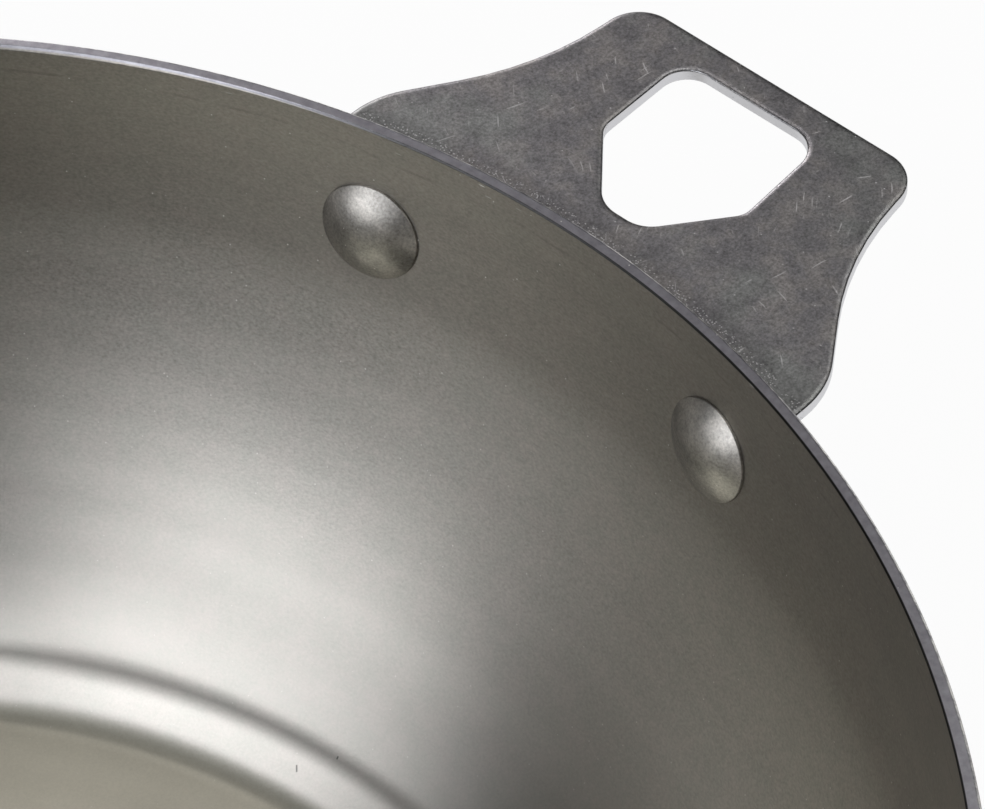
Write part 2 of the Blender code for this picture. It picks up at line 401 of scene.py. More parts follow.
def potColour(graph, where, z, noises):
    look = potFinish
    blend = noises["patches"] * 0.5 + noises["flecks"] * 0.5
    colour = graph.tint(graph.ease(blend, *look["roseRange"]), look["moss"], look["rose"])
    colour = graph.tint(look["oliveShare"], colour, look["olive"])
    # The floor's real tint, with painted light
    aboveFloor = graph.ease(z, *look["floorZone"])
    colour = graph.tint(1.0 - aboveFloor, colour, look["floorTintAndLight"])
    smooth = look["smoothLeft"] + graph.ease(z, *look["smoothZone"]) * (1.0 - look["smoothLeft"])
    level = 1.0 + graph.swing(noises, look["fineShares"]) * smooth + graph.swing(noises, look["softShares"])
    # Painted highlight on the step's sloping face and painted shade at its foot
    slantHighlight = aboveFloor * (1.0 - graph.ease(z, *look["slantZone"]))
    start, end = look["footZones"]
    foot = graph.ease(z, *start) * (1.0 - graph.ease(z, *end))
    level = level * (1.0 + slantHighlight * look["paintedSlantHighlight"] - foot * look["footShade"])
    wave = (graph.noise(where, **look["lineWave"]) - 0.5) * look["lineSwing"]
    gap = z - (pot["height"] - look["lineDrop"] + wave)
    line = 1.0 - graph.ease(gap.maths("ABSOLUTE", gap), *look["lineZone"])
    line = line * graph.ease(noises["patches"], *look["linePatches"])
    colour = graph.shade(colour, level * (1.0 - line * look["lineShade"]))
    # Painted shade on the upper wall
    colour = graph.tint(graph.ease(z, *look["upperShadeZone"]), colour, look["paintedUpperShade"], "MULTIPLY")
    return colour, graph.spots(where, look["speckCells"], look["speckReach"]) * smooth


def edgeColour(graph, where, x, y, radius, specks):
    # The cut edge of the sheet, with a painted highlight along its outer round and a painted shade line along
    # its inner chamfer
    look = potFinish
    worn = graph.noise(where, **look["worn"])
    darkest, swing = look["wornLevel"]
    colour = graph.shade(look["cutEdge"], darkest + worn * swing)
    colour = graph.tint(specks, colour, look["speck"])
    # Painted highlight: a pale patchy line on the outer round, in the speck colour
    fromRim = radius - pot["rimRadius"]
    outer = graph.ease(fromRim, *look["outerHighlightZone"]) * graph.ease(worn, *look["highlightPatches"])
    colour = graph.tint(outer, colour, look["speck"])
    # Painted shade: a dark line on the inner chamfer on the side where it narrows
    facing = (x * math.cos(pot["chamferTurn"]) + y * math.sin(pot["chamferTurn"])) / radius
    narrow = 1.0 - graph.ease(facing, *pot["chamferFade"])
    inner = 1.0 - graph.ease(fromRim, *look["innerShadeZone"])
    return graph.tint(inner * narrow, colour, look["paintedShade"])


def potSteel():
    look = potFinish
    material, graph = newMaterial("potSteel")
    where = graph.node("ShaderNodeTexCoord", output="Object")
    x, y, z = graph.parts(where)
    radius = graph.radiusOf(x, y)
    around = x.maths("ARCTAN2", y, x) * pot["rimRadius"]
    upWall = radius + z
    skin = graph.join(around * look["grainStretch"], radius, z)
    hoops = graph.join(around * look["bandStretch"], upWall, 0.0)
    spaces = {"grain": skin, "flecks": skin, "patches": where, "clouds": where, "bands": hoops}
    noises = {name: graph.noise(space, **look[name]) for name, space in spaces.items()}
    colour, specks = potColour(graph, where, z, noises)
    fromTop = z - pot["height"]
    strokes = graph.join(around * look["burrStretch"], upWall, 0.0)
    burrs = graph.spots(strokes, look["burrCells"], look["burrReach"], "2D")
    burrs = burrs * graph.ease(fromTop, *look["burrZone"])
    burrs = burrs * graph.ease(graph.noise(where, **look["burrGroups"]), *look["burrPatches"])
    marks = specks.maths("MAXIMUM", specks, burrs)
    colour = graph.tint(marks * look["markShare"], colour, look["speck"])
    # The dents are dark strokes of painted shade
    for start, end in look["nicks"]:
        nick = graph.stroke(x, y, start, end, look["nickWidth"])
        colour = graph.tint(nick * look["nickShare"], colour, look["paintedShade"])
    edge = edgeColour(graph, where, x, y, radius, specks)
    colour = graph.tint(graph.ease(fromTop, *look["cutZone"]), colour, edge)
    roughness = look["roughness"] + (noises["grain"] - 0.5) * look["roughnessSwing"]
    roughness = roughness + marks * (look["speckRoughness"] - look["roughness"])
    finishMaterial(graph, {
        "Base Color": colour,
        "Metallic": 1.0,
        "Roughness": roughness,
        "Anisotropic": look["anisotropy"],
        "Anisotropic Rotation": look["anisotropyTurn"],
        "Normal": graph.bump(noises["grain"], look["bumpDepth"], look["bumpStrength"]),
    })
    return material


def handleScratches(graph, where, x, y, patches):
    look = handleFinish
    bend = (graph.noise(where, **look["scratchBend"]) - 0.5) * look["scratchSwing"]
    stretch, slope = look["scratchStretch"], look["crossSlope"]
    strokes = graph.join((x + y) * stretch, y - x + bend, 0.0)
    scratches = graph.spots(strokes, look["scratchCells"], look["scratchReach"], "2D")
    strokes = graph.join((x - y * slope) * stretch, y + x * slope - bend, 0.0)
    crossed = graph.spots(strokes, look["crossCells"], look["crossReach"], "2D")
    both = scratches.maths("MAXIMUM", scratches, crossed)
    return both * graph.ease(patches, *look["scratchPatches"])


def handleSteel():
    look = handleFinish
    material, graph = newMaterial("handleSteel")
    where = graph.node("ShaderNodeTexCoord", output="Object")
    x, y = graph.parts(where)[:2]
    noises = {name: graph.noise(where, **look[name]) for name in ("fine", "patches", "clouds", "grit")}
    colour = graph.tint(graph.ease(noises["patches"], *look["warmRange"]), look["grey"], look["warm"])
    colour = graph.tint(graph.ease(noises["clouds"], *look["mossRange"]), colour, look["moss"])
    fromRim = graph.radiusOf(x, y) - y * look["rimSlope"] - (pot["rimRadius"] + look["rimStart"])
    nearRim = 1.0 - graph.ease(fromRim, 0.0, look["rimReach"])
    level = 1.0 + graph.swing(noises, look["shares"])
    colour = graph.shade(colour, level * (1.0 - nearRim * look["rimShade"]))
    burrs = graph.spots(where, look["burrCells"], look["burrReach"]) * graph.ease(nearRim, *look["burrRange"])
    specks = graph.spots(where, look["speckCells"], look["speckReach"])
    specks = specks.maths("MAXIMUM", specks, burrs)
    scratches = handleScratches(graph, where, x, y, noises["patches"])
    marks = specks.maths("MAXIMUM", specks, scratches * look["scratchShare"])
    colour = graph.tint(marks * look["markShare"], colour, look["speck"])
    edge = graph.node("ShaderNodeAttribute", {"attribute_name": "cutFace"}, output="Fac")
    colour = graph.tint(edge, colour, look["cutEdge"])
    roughness = look["roughness"] + (noises["patches"] - 0.5) * look["roughnessSwing"]
    roughness = roughness + marks * (look["speckRoughness"] - look["roughness"])
    finishMaterial(graph, {
        "Base Color": colour,
        "Metallic": 1.0,
        "Roughness": roughness,
        "Normal": graph.bump(noises["fine"], look["bumpDepth"], look["bumpStrength"]),
    })
    return material


def rivetSteel():
    look = rivetFinish
    material, graph = newMaterial("rivetSteel")
    where = graph.node("ShaderNodeTexCoord", output="Object")
    noises = {name: graph.noise(where, **look[name]) for name in ("fine", "patches")}
    specks = graph.spots(where, look["speckCells"], look["speckReach"])
    colour = graph.tint(graph.ease(noises["patches"], *look["brightRange"]), look["dull"], look["bright"])
    colour = graph.shade(colour, 1.0 + graph.swing(noises, look["shares"]))
    colour = graph.tint(specks, colour, look["speck"])
    finishMaterial(graph, {
        "Base Color": colour,
        "Metallic": 1.0,
        "Roughness": look["roughness"] + (noises["patches"] - 0.5) * look["roughnessSwing"],
        "Normal": graph.bump(noises["fine"] + specks, look["bumpDepth"], look["bumpStrength"]),
    })
    return material


# Pot body

pot = {
    "rimRadius": 0.150,
    "height": 0.089,
    "sheet": 0.002,
    "floorRadius": 0.0957,
    "stepFoot": 0.0103,  # bend from the floor up into the step
    "stepAngle": math.radians(35.0),
    "stepLength": 0.0026,
    "stepBrow": 0.0112,  # bend from the step over to the shelf
    "shelfAngle": math.radians(19.8),
    "wallFoot": 0.0104,  # bend from the shelf up into the wall
    "wallFootAngle": math.radians(29.5),
    "wallTopAngle": math.radians(85.8),
    "wallFootShare": 0.051,  # how long the wall keeps its slope at the foot, of its height
    "wallTopShare": 0.684,  # and below the rim
    "innerChamfer": 0.0005,
    "chamferLeft": 0.4,  # share of the chamfer's width left where it is narrowest
    "chamferTurn": math.radians(60.0),  # the side where it is whole
    "chamferFade": (0.62, 0.88),  # cosines of the turn from there, over which it narrows
    "edgeReach": (0.0009, 0.001),  # points this near the edge move with it
    "outerRound": 0.0004,
    "cornerEase": 0.00006,  # small flat left on every sharp corner
    "floorRings": 12,
    "bendPoints": 10,
    "wallPoints": 64,
    "turnSteps": 320,
    "guideRadius": 0.1,
}
sharpTurn = math.radians(15.0)  # a corner of a profile that turns more than this is eased
easeReach = 3.0  # its second line on each side, in gaps
halvings = 50  # steps of the search for a place on the wall
weld = 0.000002
tiny = 0.000001  # keeps a division from meeting zero


def bent(start, bendRadius, angle, pieces):
    # Places (radius, height, slope) along an arc that turns the slope of start to angle
    radius, height, first = start
    turn = math.copysign(bendRadius, angle - first)
    places = []
    for index in range(1, pieces + 1):
        slope = first + (angle - first) * index / pieces
        across = radius + turn * (math.sin(slope) - math.sin(first))
        places.append((across, height + turn * (math.cos(first) - math.cos(slope)), slope))
    return places


def stepPlaces():
    # Inner face of the pressed step, from the floor's edge to the wall's foot
    pieces = pot["bendPoints"]
    places = [(pot["floorRadius"], pot["sheet"], 0.0)]
    places += bent(places[-1], pot["stepFoot"], pot["stepAngle"], pieces)
    radius, height, slope = places[-1]
    run = pot["stepLength"] * math.cos(slope)
    places.append((radius + run, height + pot["stepLength"] * math.sin(slope), slope))
    places += bent(places[-1], pot["stepBrow"], pot["shelfAngle"], pieces)
    places += bent(places[-1], pot["wallFoot"], pot["wallFootAngle"], pieces)
    return places


def wallEnds():
    # The four points that steer the wall's curve
    foot = np.array(stepPlaces()[-1][:2])
    top = np.array([pot["rimRadius"] - pot["sheet"], pot["height"]])
    rise = top[1] - foot[1]
    low = np.array([math.cos(pot["wallFootAngle"]), math.sin(pot["wallFootAngle"])])
    high = np.array([math.cos(pot["wallTopAngle"]), math.sin(pot["wallTopAngle"])])
    return foot, foot + low * rise * pot["wallFootShare"], top - high * rise * pot["wallTopShare"], top


wallCurve = wallEnds()


def wallPlace(share):
    # Place on the inner wall, from its foot at 0 to the rim at 1
    foot, low, high, top = wallCurve
    rest = 1.0 - share
    point = rest ** 3 * foot + 3.0 * rest ** 2 * share * low + 3.0 * rest * share ** 2 * high
    point = point + share ** 3 * top
    along = rest ** 2 * (low - foot) + 2.0 * rest * share * (high - low) + share ** 2 * (top - high)
    return float(point[0]), float(point[1]), math.atan2(along[1], along[0])


def wallShareAt(height, offset=0.0):
    # Where the wall, moved out of the pot by offset, reaches a height
    low, high = 0.0, 1.0
    for _ in range(halvings):
        middle = (low + high) / 2.0
        if wallPoint(middle, offset)[1] < height:
            low = middle
        else:
            high = middle
    return low


def moved(place, offset):
    radius, height, slope = place
    return radius + offset * math.sin(slope), height - offset * math.cos(slope)


def wallPoint(share, offset=0.0):
    return moved(wallPlace(share), offset)


def eased(points, gap):
    # Each sharp corner becomes a narrow bevel with a line close by on both sides
    result = [points[0]]
    for before, here, after in zip(points, points[1:], points[2:]):
        here, back, on = Vector(here), Vector(before) - Vector(here), Vector(after) - Vector(here)
        if math.pi - back.angle(on) < sharpTurn:
            result.append(tuple(here))
            continue
        for direction, distance in ((back, easeReach * gap), (back, gap), (on, gap), (on, easeReach * gap)):
            result.append(tuple(here + direction.normalized() * min(distance, direction.length / 2.0)))
    result.append(points[-1])
    return result


def potProfile():
    # Up the inside from the floor's centre, over the rim and down the outside
    rings = [pot["floorRadius"] * (index / pot["floorRings"]) for index in range(pot["floorRings"])]
    walls = [wallPlace(index / pot["wallPoints"]) for index in range(1, pot["wallPoints"])]
    places = stepPlaces() + walls
    rim = pot["rimRadius"]
    top = pot["height"]
    inside = [(radius, pot["sheet"]) for radius in rings]
    inside += [moved(place, 0.0) for place in places]
    edge = [
        (rim - pot["sheet"], top - pot["innerChamfer"]),
        (rim - pot["sheet"] + pot["innerChamfer"], top),
        (rim - pot["outerRound"], top),
        (rim, top - pot["outerRound"]),
    ]
    outside = [moved(place, pot["sheet"]) for place in reversed(places)]
    outside += [(radius, 0.0) for radius in reversed(rings[::2])]
    return eased(inside + edge + outside, pot["cornerEase"])


def turned(graph, given, profile):
    # Turns a profile about Z: a ring carries it round, at the guide radius
    profile = graph.node("GeometryNodeMeshToCurve", None, {0: profile})
    ring = {"Resolution": given["Turn Steps"], "Radius": given["Guide Radius"]}
    guide = graph.node("GeometryNodeCurvePrimitiveCircle", None, ring)
    guide = graph.node("GeometryNodeSetCurveNormal", {"mode": "Z_UP"}, {0: guide})
    shape = graph.node("GeometryNodeCurveToMesh", None, {"Curve": guide, "Profile Curve": profile})
    return graph.node("GeometryNodeMergeByDistance", None, {"Geometry": shape, "Distance": given["Weld"]})


def turnTree(material):
    sizes = {"Turn Steps": "Int", "Guide Radius": "Float", "Weld": "Float", "Edge Radius": "Float",
             "Edge Height": "Float", "Chamfer Left": "Float", "Wide X": "Float", "Wide Y": "Float"}
    tree, graph, given = newTree("turnedPot", sizes)
    shape = turned(graph, given, given["Geometry"])
    # The rim's inner chamfer narrows towards its sharp corner on one side of the pot
    x, y, z = graph.parts(graph.node("GeometryNodeInputPosition"))
    radius = graph.radiusOf(x, y) + tiny
    inward = given["Edge Radius"] - radius
    upward = given["Edge Height"] - z
    near = 1.0 - graph.ease(graph.radiusOf(inward, upward), *pot["edgeReach"])
    wide = graph.ease((x * given["Wide X"] + y * given["Wide Y"]) / radius, *pot["chamferFade"])
    pull = near * (1.0 - given["Chamfer Left"]) * (1.0 - wide)
    offset = graph.join(x / radius * inward * pull, y / radius * inward * pull, upward * pull)
    shape = graph.node("GeometryNodeSetPosition", None, {"Geometry": shape, "Offset": offset})
    endTree(graph, shape, material)
    return tree


def turnedSource(name, profile, guideRadius):
    points = [(radius - guideRadius, -height, 0.0) for radius, height in profile]
    return sourceObject(name, points, [(index, index + 1) for index in range(len(points) - 1)])


def makePot():
    source = turnedSource("potProfile", potProfile(), pot["guideRadius"])
    values = {
        "Turn Steps": pot["turnSteps"],
        "Guide Radius": pot["guideRadius"],
        "Weld": weld,
        "Edge Radius": pot["rimRadius"] - pot["sheet"],
        "Edge Height": pot["height"],
        "Chamfer Left": pot["chamferLeft"],
        "Wide X": math.cos(pot["chamferTurn"]),
        "Wide Y": math.sin(pot["chamferTurn"]),
    }
    body = grown(source, turnTree(potSteel()), values, "potBody")
    place(body, "pot_steel", "pot_body")


makePot()
print("pot turned")


# Handles

handle = {
    "plate": 0.002,
    "plateDrop": 0.0074,
    "reach": 0.0423,
    "gripHalfWidth": 0.0256,
    "gripCorner": 0.006,
    "gripLean": 0.0008,  # the photographed handle leans a little to one side
    "waistLean": 0.0004,
    "waistReach": 0.024,
    "waistHalfWidth": 0.0277,
    "waistCorner": 0.046,
    "baseReach": 0.0044,
    "baseHalfWidth": 0.0413,
    "baseCorner": 0.014,
    "bendRadius": 0.004,
    "flangeDrop": 0.0275,
    "flangeCorner": 0.008,
    "clearance": 0.0003,
    "holeBand": 0.0048,
    "holeOuterHalfWidth": 0.0123,
    "holeOuterCorner": 0.0045,
    "holeSideLength": 0.0166,
    "holeSideHalfWidth": 0.0127,
    "holeSideCorner": 0.0032,
    "holeTaperLength": 0.011,
    "holeInnerHalfWidth": 0.0035,
    "holeInnerCorner": 0.0055,
    "rollWidth": 0.0009,  # punched edge: how far the top face rolls over
    "rollDepth": 0.00028,
    "burrRound": 0.00012,  # and the small round at the underside
    "rollSteps": 8,
    "burrSteps": 3,
    "flatEase": 0.00012,  # a line close by on each flat face, and on the cut side
    "sideEase": 0.0001,
    "arcStep": math.radians(5.0),
    "arcPieces": 3,
    "edgeSpacing": 0.0006,
    "faceSpacing": 0.0014,
    "rowShare": 0.866,  # rows of the faces' lattice, as a share of its spacing
    "latticeGap": 0.6,  # and how near the edge it comes
    "flangeSteps": 200,
    "flangeTurns": range(12, -13, -2),  # degrees of the points along the flange's lower edge
    "joinGap": 0.000000001,
    "weld": 0.0000005,
}
plateTop = pot["height"] - handle["plateDrop"]
nearWall = pot["sheet"] + handle["clearance"]


def bendPlace():
    # Share of the wall, radius and turn of the bend, where its arc runs into the flange
    bendHeight = plateTop - handle["bendRadius"]
    share = wallShareAt(bendHeight, nearWall + handle["bendRadius"])
    radius = wallPoint(share, nearWall + handle["bendRadius"])[0]
    touch = wallPoint(share, nearWall)
    turn = math.atan2(touch[1] - bendHeight, touch[0] - radius) - math.pi / 2.0
    return share, radius, turn


bendShare, bendCentre, bendTurn = bendPlace()
bendLength = bendTurn * handle["bendRadius"]


def flangeTable():
    # Length run down the flange against the share of the wall, to its lower edge
    lowest = wallShareAt(pot["height"] - handle["flangeDrop"])
    shares = np.linspace(bendShare, lowest, handle["flangeSteps"])
    points = np.array([wallPoint(share, nearWall) for share in shares])
    runs = np.concatenate([[0.0], np.cumsum(np.hypot(*np.diff(points, axis=0).T))])
    return runs, shares


flangeRuns, flangeShares = flangeTable()
blankInner = bendCentre - bendLength - flangeRuns[-1]


def folded(x, y, depth):
    # Point of the flat blank, depth below its upper face, after bending round the pot
    flat = math.hypot(x, y)
    if flat >= bendCentre:
        return x, y, plateTop - depth
    run = bendCentre - flat
    if run <= bendLength:
        turn = math.pi / 2.0 + run / handle["bendRadius"]
        arm = handle["bendRadius"] - depth
        radius = bendCentre + arm * math.cos(turn)
        height = plateTop - handle["bendRadius"] + arm * math.sin(turn)
    else:
        share = np.interp(run - bendLength, flangeRuns, flangeShares)
        radius, height = wallPoint(share, nearWall + depth)
    return x / flat * radius, y / flat * radius, height


def filleted(corners):
    # Outline from (x, y, radius) corners, each corner replaced by an arc
    outline = []
    count = len(corners)
    for index, (x, y, radius) in enumerate(corners):
        corner = Vector((x, y))
        before = (Vector(corners[index - 1][:2]) - corner).normalized()
        after = (Vector(corners[(index + 1) % count][:2]) - corner).normalized()
        if radius == 0.0:
            outline.append((x, y))
            continue
        half = before.angle(after) / 2.0
        centre = corner + (before + after).normalized() * radius / math.sin(half)
        start = corner + before * radius / math.tan(half) - centre
        end = corner + after * radius / math.tan(half) - centre
        first = math.atan2(start.y, start.x)
        sweep = (math.atan2(end.y, end.x) - first + math.pi) % (2.0 * math.pi) - math.pi
        pieces = max(handle["arcPieces"], math.ceil(abs(sweep) / handle["arcStep"]))
        for piece in range(pieces + 1):
            angle = first + sweep * piece / pieces
            outline.append((centre.x + radius * math.cos(angle), centre.y + radius * math.sin(angle)))
    return outline


def blankOutline(lean):
    rim = pot["rimRadius"]
    flangeTurn = math.asin(handle["baseHalfWidth"] / wallPoint(flangeShares[-1], nearWall)[0])
    middleTurn = math.asin(handle["baseHalfWidth"] / wallPoint(bendShare, nearWall)[0])
    middleRadius = bendCentre - bendLength
    side = [
        (rim + handle["reach"], handle["gripHalfWidth"], handle["gripCorner"], handle["gripLean"]),
        (rim + handle["waistReach"], handle["waistHalfWidth"], handle["waistCorner"], handle["waistLean"]),
        (rim + handle["baseReach"], handle["baseHalfWidth"], handle["baseCorner"], 0.0),
        (middleRadius * math.cos(middleTurn), middleRadius * math.sin(middleTurn), 0.0, 0.0),
        (blankInner * math.cos(flangeTurn), blankInner * math.sin(flangeTurn), handle["flangeCorner"], 0.0),
    ]
    other = [(x, -y - shift * lean, radius) for x, y, radius, shift in reversed(side)]
    side = [(x, y - shift * lean, radius) for x, y, radius, shift in side]
    turns = [math.radians(turn) for turn in handle["flangeTurns"]]
    lower = [(blankInner * math.cos(turn), blankInner * math.sin(turn), 0.0) for turn in turns]
    return filleted(side + lower + other)


def holeOutline():
    outer = pot["rimRadius"] + handle["reach"] - handle["holeBand"]
    shoulder = outer - handle["holeSideLength"]
    inner = shoulder - handle["holeTaperLength"]
    side = [
        (outer, handle["holeOuterHalfWidth"], handle["holeOuterCorner"]),
        (shoulder, handle["holeSideHalfWidth"], handle["holeSideCorner"]),
        (inner, handle["holeInnerHalfWidth"], handle["holeInnerCorner"]),
    ]
    other = [(x, -y, radius) for x, y, radius in reversed(side)]
    return filleted(side + other)


def evenly(outline, spacing):
    # Longer stretches of the outline are split, arcs keep their own points
    result = []
    for here, after in zip(outline, outline[1:] + outline[:1]):
        here, after = np.array(here), np.array(after)
        pieces = max(1, round(np.linalg.norm(after - here) / spacing))
        result += [here + (after - here) * piece / pieces for piece in range(pieces)]
    return np.array(result)


def outwardOf(loop, filledInside):
    # Unit normals of a loop, away from the material
    along = np.roll(loop, -1, axis=0) - np.roll(loop, 1, axis=0)
    area = (loop[:, 0] * np.roll(loop[:, 1], -1) - np.roll(loop[:, 0], -1) * loop[:, 1]).sum()
    out = np.stack([along[:, 1], -along[:, 0]], axis=1) * (1.0 if area > 0.0 else -1.0)
    out /= np.linalg.norm(out, axis=1)[:, None]
    return out if filledInside else -out


def insideOf(points, loop):
    # Even-odd test of many points against one loop
    inside = np.zeros(len(points), bool)
    for (ax, ay), (bx, by) in zip(loop, np.roll(loop, -1, axis=0)):
        spans = (ay > points[:, 1]) != (by > points[:, 1])
        if ay != by:
            crossing = ax + (points[:, 1] - ay) * (bx - ax) / (by - ay)
            inside ^= spans & (points[:, 0] < crossing)
    return inside


def edgeRings():
    # Distance in from the outline and depth, from the upper face's flat to the lower one's
    width, depth, burr, plate = (handle[name] for name in ("rollWidth", "rollDepth", "burrRound", "plate"))
    rings = [(width + handle["flatEase"], 0.0)]
    for index in range(handle["rollSteps"] + 1):
        angle = math.pi / 2.0 * index / handle["rollSteps"]
        rings.append((width * (1.0 - math.sin(angle)), depth * (1.0 - math.cos(angle))))
    rings.append((0.0, depth + handle["sideEase"]))
    rings.append((0.0, plate - burr - handle["sideEase"]))
    for index in range(handle["burrSteps"] + 1):
        angle = math.pi / 2.0 * index / handle["burrSteps"]
        rings.append((burr * (1.0 - math.cos(angle)), plate - burr * (1.0 - math.sin(angle))))
    rings.append((burr + handle["flatEase"], plate))
    return rings


def faceTriangles(loops, spacing):
    # Flat triangulation between the outer loop and the hole's, with a lattice inside
    outer, hole = loops
    low, high = outer.min(0), outer.max(0)
    rows = np.arange(low[1], high[1], spacing * handle["rowShare"])
    lattice = []
    for index, y in enumerate(rows):
        shift = spacing / 2.0 * (index % 2)
        lattice += [(x, y) for x in np.arange(low[0] + shift, high[0], spacing)]
    lattice = np.array(lattice)
    lattice = lattice[insideOf(lattice, outer) & ~insideOf(lattice, hole)]
    edge = np.concatenate(loops)
    gaps = np.sqrt(((lattice[:, None, :] - edge[None, :, :]) ** 2).sum(2)).min(1)
    lattice = lattice[gaps > spacing * handle["latticeGap"]]
    points = np.concatenate([edge, lattice])
    joins = []
    start = 0
    for loop in loops:
        count = len(loop)
        joins += [(start + index, start + (index + 1) % count) for index in range(count)]
        start += count
    found = geometry.delaunay_2d_cdt([Vector(point) for point in points], joins, [], 0, handle["joinGap"])
    places = np.array([tuple(point) for point in found[0]])
    triangles = np.array([face for face in found[2]])
    centres = places[triangles].mean(1)
    triangles = triangles[insideOf(centres, outer) & ~insideOf(centres, hole)]
    origin = np.array([ids[0] for ids in found[3]])
    return points, origin[triangles]


def handleMesh(name, material, turn, lean):
    loops = [evenly(blankOutline(lean), handle["edgeSpacing"]), evenly(holeOutline(), handle["edgeSpacing"])]
    outs = [outwardOf(loops[0], True), outwardOf(loops[1], False)]
    rings = edgeRings()
    flat = []
    faces = []
    cutFace = []
    start = []
    for loop, out in zip(loops, outs):
        start.append(len(flat))
        for inset, depth in rings:
            flat += [(*point, depth) for point in loop - out * inset]
            cutFace += [1.0 if inset == 0.0 else 0.0] * len(loop)
        count = len(loop)
        for ring in range(len(rings) - 1):
            here = start[-1] + ring * count
            for index in range(count):
                after = (index + 1) % count
                faces.append((here + index, here + after, here + count + after, here + count + index))
    for ring, depth in ((0, 0.0), (len(rings) - 1, handle["plate"])):
        inset = rings[ring][0]
        inner = [loop - out * inset for loop, out in zip(loops, outs)]
        points, triangles = faceTriangles(inner, handle["faceSpacing"])
        counts = [len(loop) for loop in loops]
        ids = []
        for loopStart, count in zip(start, counts):
            ids += [loopStart + ring * count + index for index in range(count)]
        ids += [len(flat) + index for index in range(len(points) - sum(counts))]
        flat += [(*point, depth) for point in points[sum(counts):]]
        cutFace += [0.0] * (len(points) - sum(counts))
        faces += [tuple(ids[corner] for corner in triangle) for triangle in triangles]
    shape = np.array([folded(*point) for point in flat])
    around = np.array([[math.cos(turn), -math.sin(turn), 0], [math.sin(turn), math.cos(turn), 0], [0, 0, 1]])
    mesh = bpy.data.meshes.new(name)
    mesh.from_pydata((shape @ around.T).tolist(), [], faces)
    attribute = mesh.attributes.new("cutFace", "FLOAT", "POINT")
    attribute.data.foreach_set("value", cutFace)
    mesh.materials.append(material)
    return mesh


def alignFaces(mesh):
    shape = bmesh.new()
    shape.from_mesh(mesh)
    bmesh.ops.remove_doubles(shape, verts=shape.verts, dist=handle["weld"])
    bmesh.ops.recalc_face_normals(shape, faces=shape.faces)
    for face in shape.faces:
        face.smooth = True
    shape.to_mesh(mesh)
    shape.free()
    faceOut(mesh)


def makeHandles():
    steel = handleSteel()
    sides = (("handleRight", "handle_right", 0.0, 1.0), ("handleLeft", "handle_left", math.pi, 0.0))
    for name, node, turn, lean in sides:
        mesh = handleMesh(name, steel, turn, lean)
        alignFaces(mesh)
        place(link(bpy.data.objects.new(name, mesh)), "handle_steel", node)


makeHandles()
print("handles pressed")


# Rivets

rivet = {
    "drop": 0.0174,
    "inset": 0.0107,  # side of the handle's base to a rivet's axis
    "shankRadius": 0.003,
    "headRadius": 0.00755,
    "headLip": 0.00035,
    "headHeight": 0.0026,
    "seat": 0.00022,  # lowest seat that clears the curved wall
    "tailRadius": 0.005,
    "tailHeight": 0.0016,
    "cornerEase": 0.00005,
    "domePoints": 24,
    "turnSteps": 72,
    "guideRadius": 0.005,
    "tailBevel": 0.0006,
    "dent": 0.00003,
    "hammer": {"scale": 330.0, "detail": 1.0, "roughness": 0.4},
    "seed": 3.0,
}


def rivetProfile():
    # Domed head, lip, shank and hammered tail, from the top down
    rise = rivet["headHeight"] - rivet["headLip"]
    radius = rivet["headRadius"]
    dome = (radius ** 2 + rise ** 2) / (2.0 * rise)
    reach = math.asin(radius / dome)
    centre = rivet["seat"] + rivet["headHeight"] - dome
    turns = [reach * index / rivet["domePoints"] for index in range(rivet["domePoints"] + 1)]
    head = [(dome * math.sin(turn), centre + dome * math.cos(turn)) for turn in turns]
    tailTop = -(pot["sheet"] + handle["plate"] + 2.0 * handle["clearance"])
    tailLow = tailTop - rivet["tailHeight"]
    tail = [
        (radius, rivet["seat"]),
        (rivet["shankRadius"], rivet["seat"]),
        (rivet["shankRadius"], tailTop),
        (rivet["tailRadius"], tailTop),
        (rivet["tailRadius"], tailLow + rivet["tailBevel"]),
        (rivet["tailRadius"] - rivet["tailBevel"], tailLow),
        (0.0, tailLow),
    ]
    return eased(head + tail, rivet["cornerEase"])


def rivetPlaces():
    radius, height, slope = wallPlace(wallShareAt(pot["height"] - rivet["drop"]))
    halfAngle = math.asin((handle["baseHalfWidth"] - rivet["inset"]) / radius)
    points, facings = [], []
    for side in (0.0, math.pi):
        for sign in (-1.0, 1.0):
            turn = side + sign * halfAngle
            points.append((radius * math.cos(turn), radius * math.sin(turn), height))
            inward = -math.sin(slope)
            facings.append((inward * math.cos(turn), inward * math.sin(turn), math.cos(slope)))
    return points, facings


def rivetTree(material):
    sizes = {"Profile": "Object", "Turn Steps": "Int", "Guide Radius": "Float", "Weld": "Float",
             "Dent": "Float", "Seed": "Float"}
    tree, graph, given = newTree("rivetSet", sizes)
    profile = graph.node("GeometryNodeObjectInfo", None, {"Object": given["Profile"]}, "Geometry")
    shape = turned(graph, given, profile)
    facing = graph.node("GeometryNodeInputNamedAttribute", {"data_type": "FLOAT_VECTOR"}, {"Name": "facing"})
    turn = graph.node("FunctionNodeAlignRotationToVector", {"axis": "Z"}, {"Vector": facing})
    sockets = {"Points": given["Geometry"], "Instance": shape, "Rotation": turn}
    shape = graph.node("GeometryNodeInstanceOnPoints", None, sockets)
    shape = graph.node("GeometryNodeRealizeInstances", None, {"Geometry": shape})
    where = graph.node("GeometryNodeInputPosition")
    hammer = graph.noise(where, shift=given["Seed"], **rivet["hammer"]) - 0.5
    normal = graph.node("GeometryNodeInputNormal")
    push = graph.node("ShaderNodeVectorMath", {"operation": "SCALE"},
                      {0: normal, "Scale": hammer * given["Dent"]})
    shape = graph.node("GeometryNodeSetPosition", None, {"Geometry": shape, "Offset": push})
    endTree(graph, shape, material)
    return tree


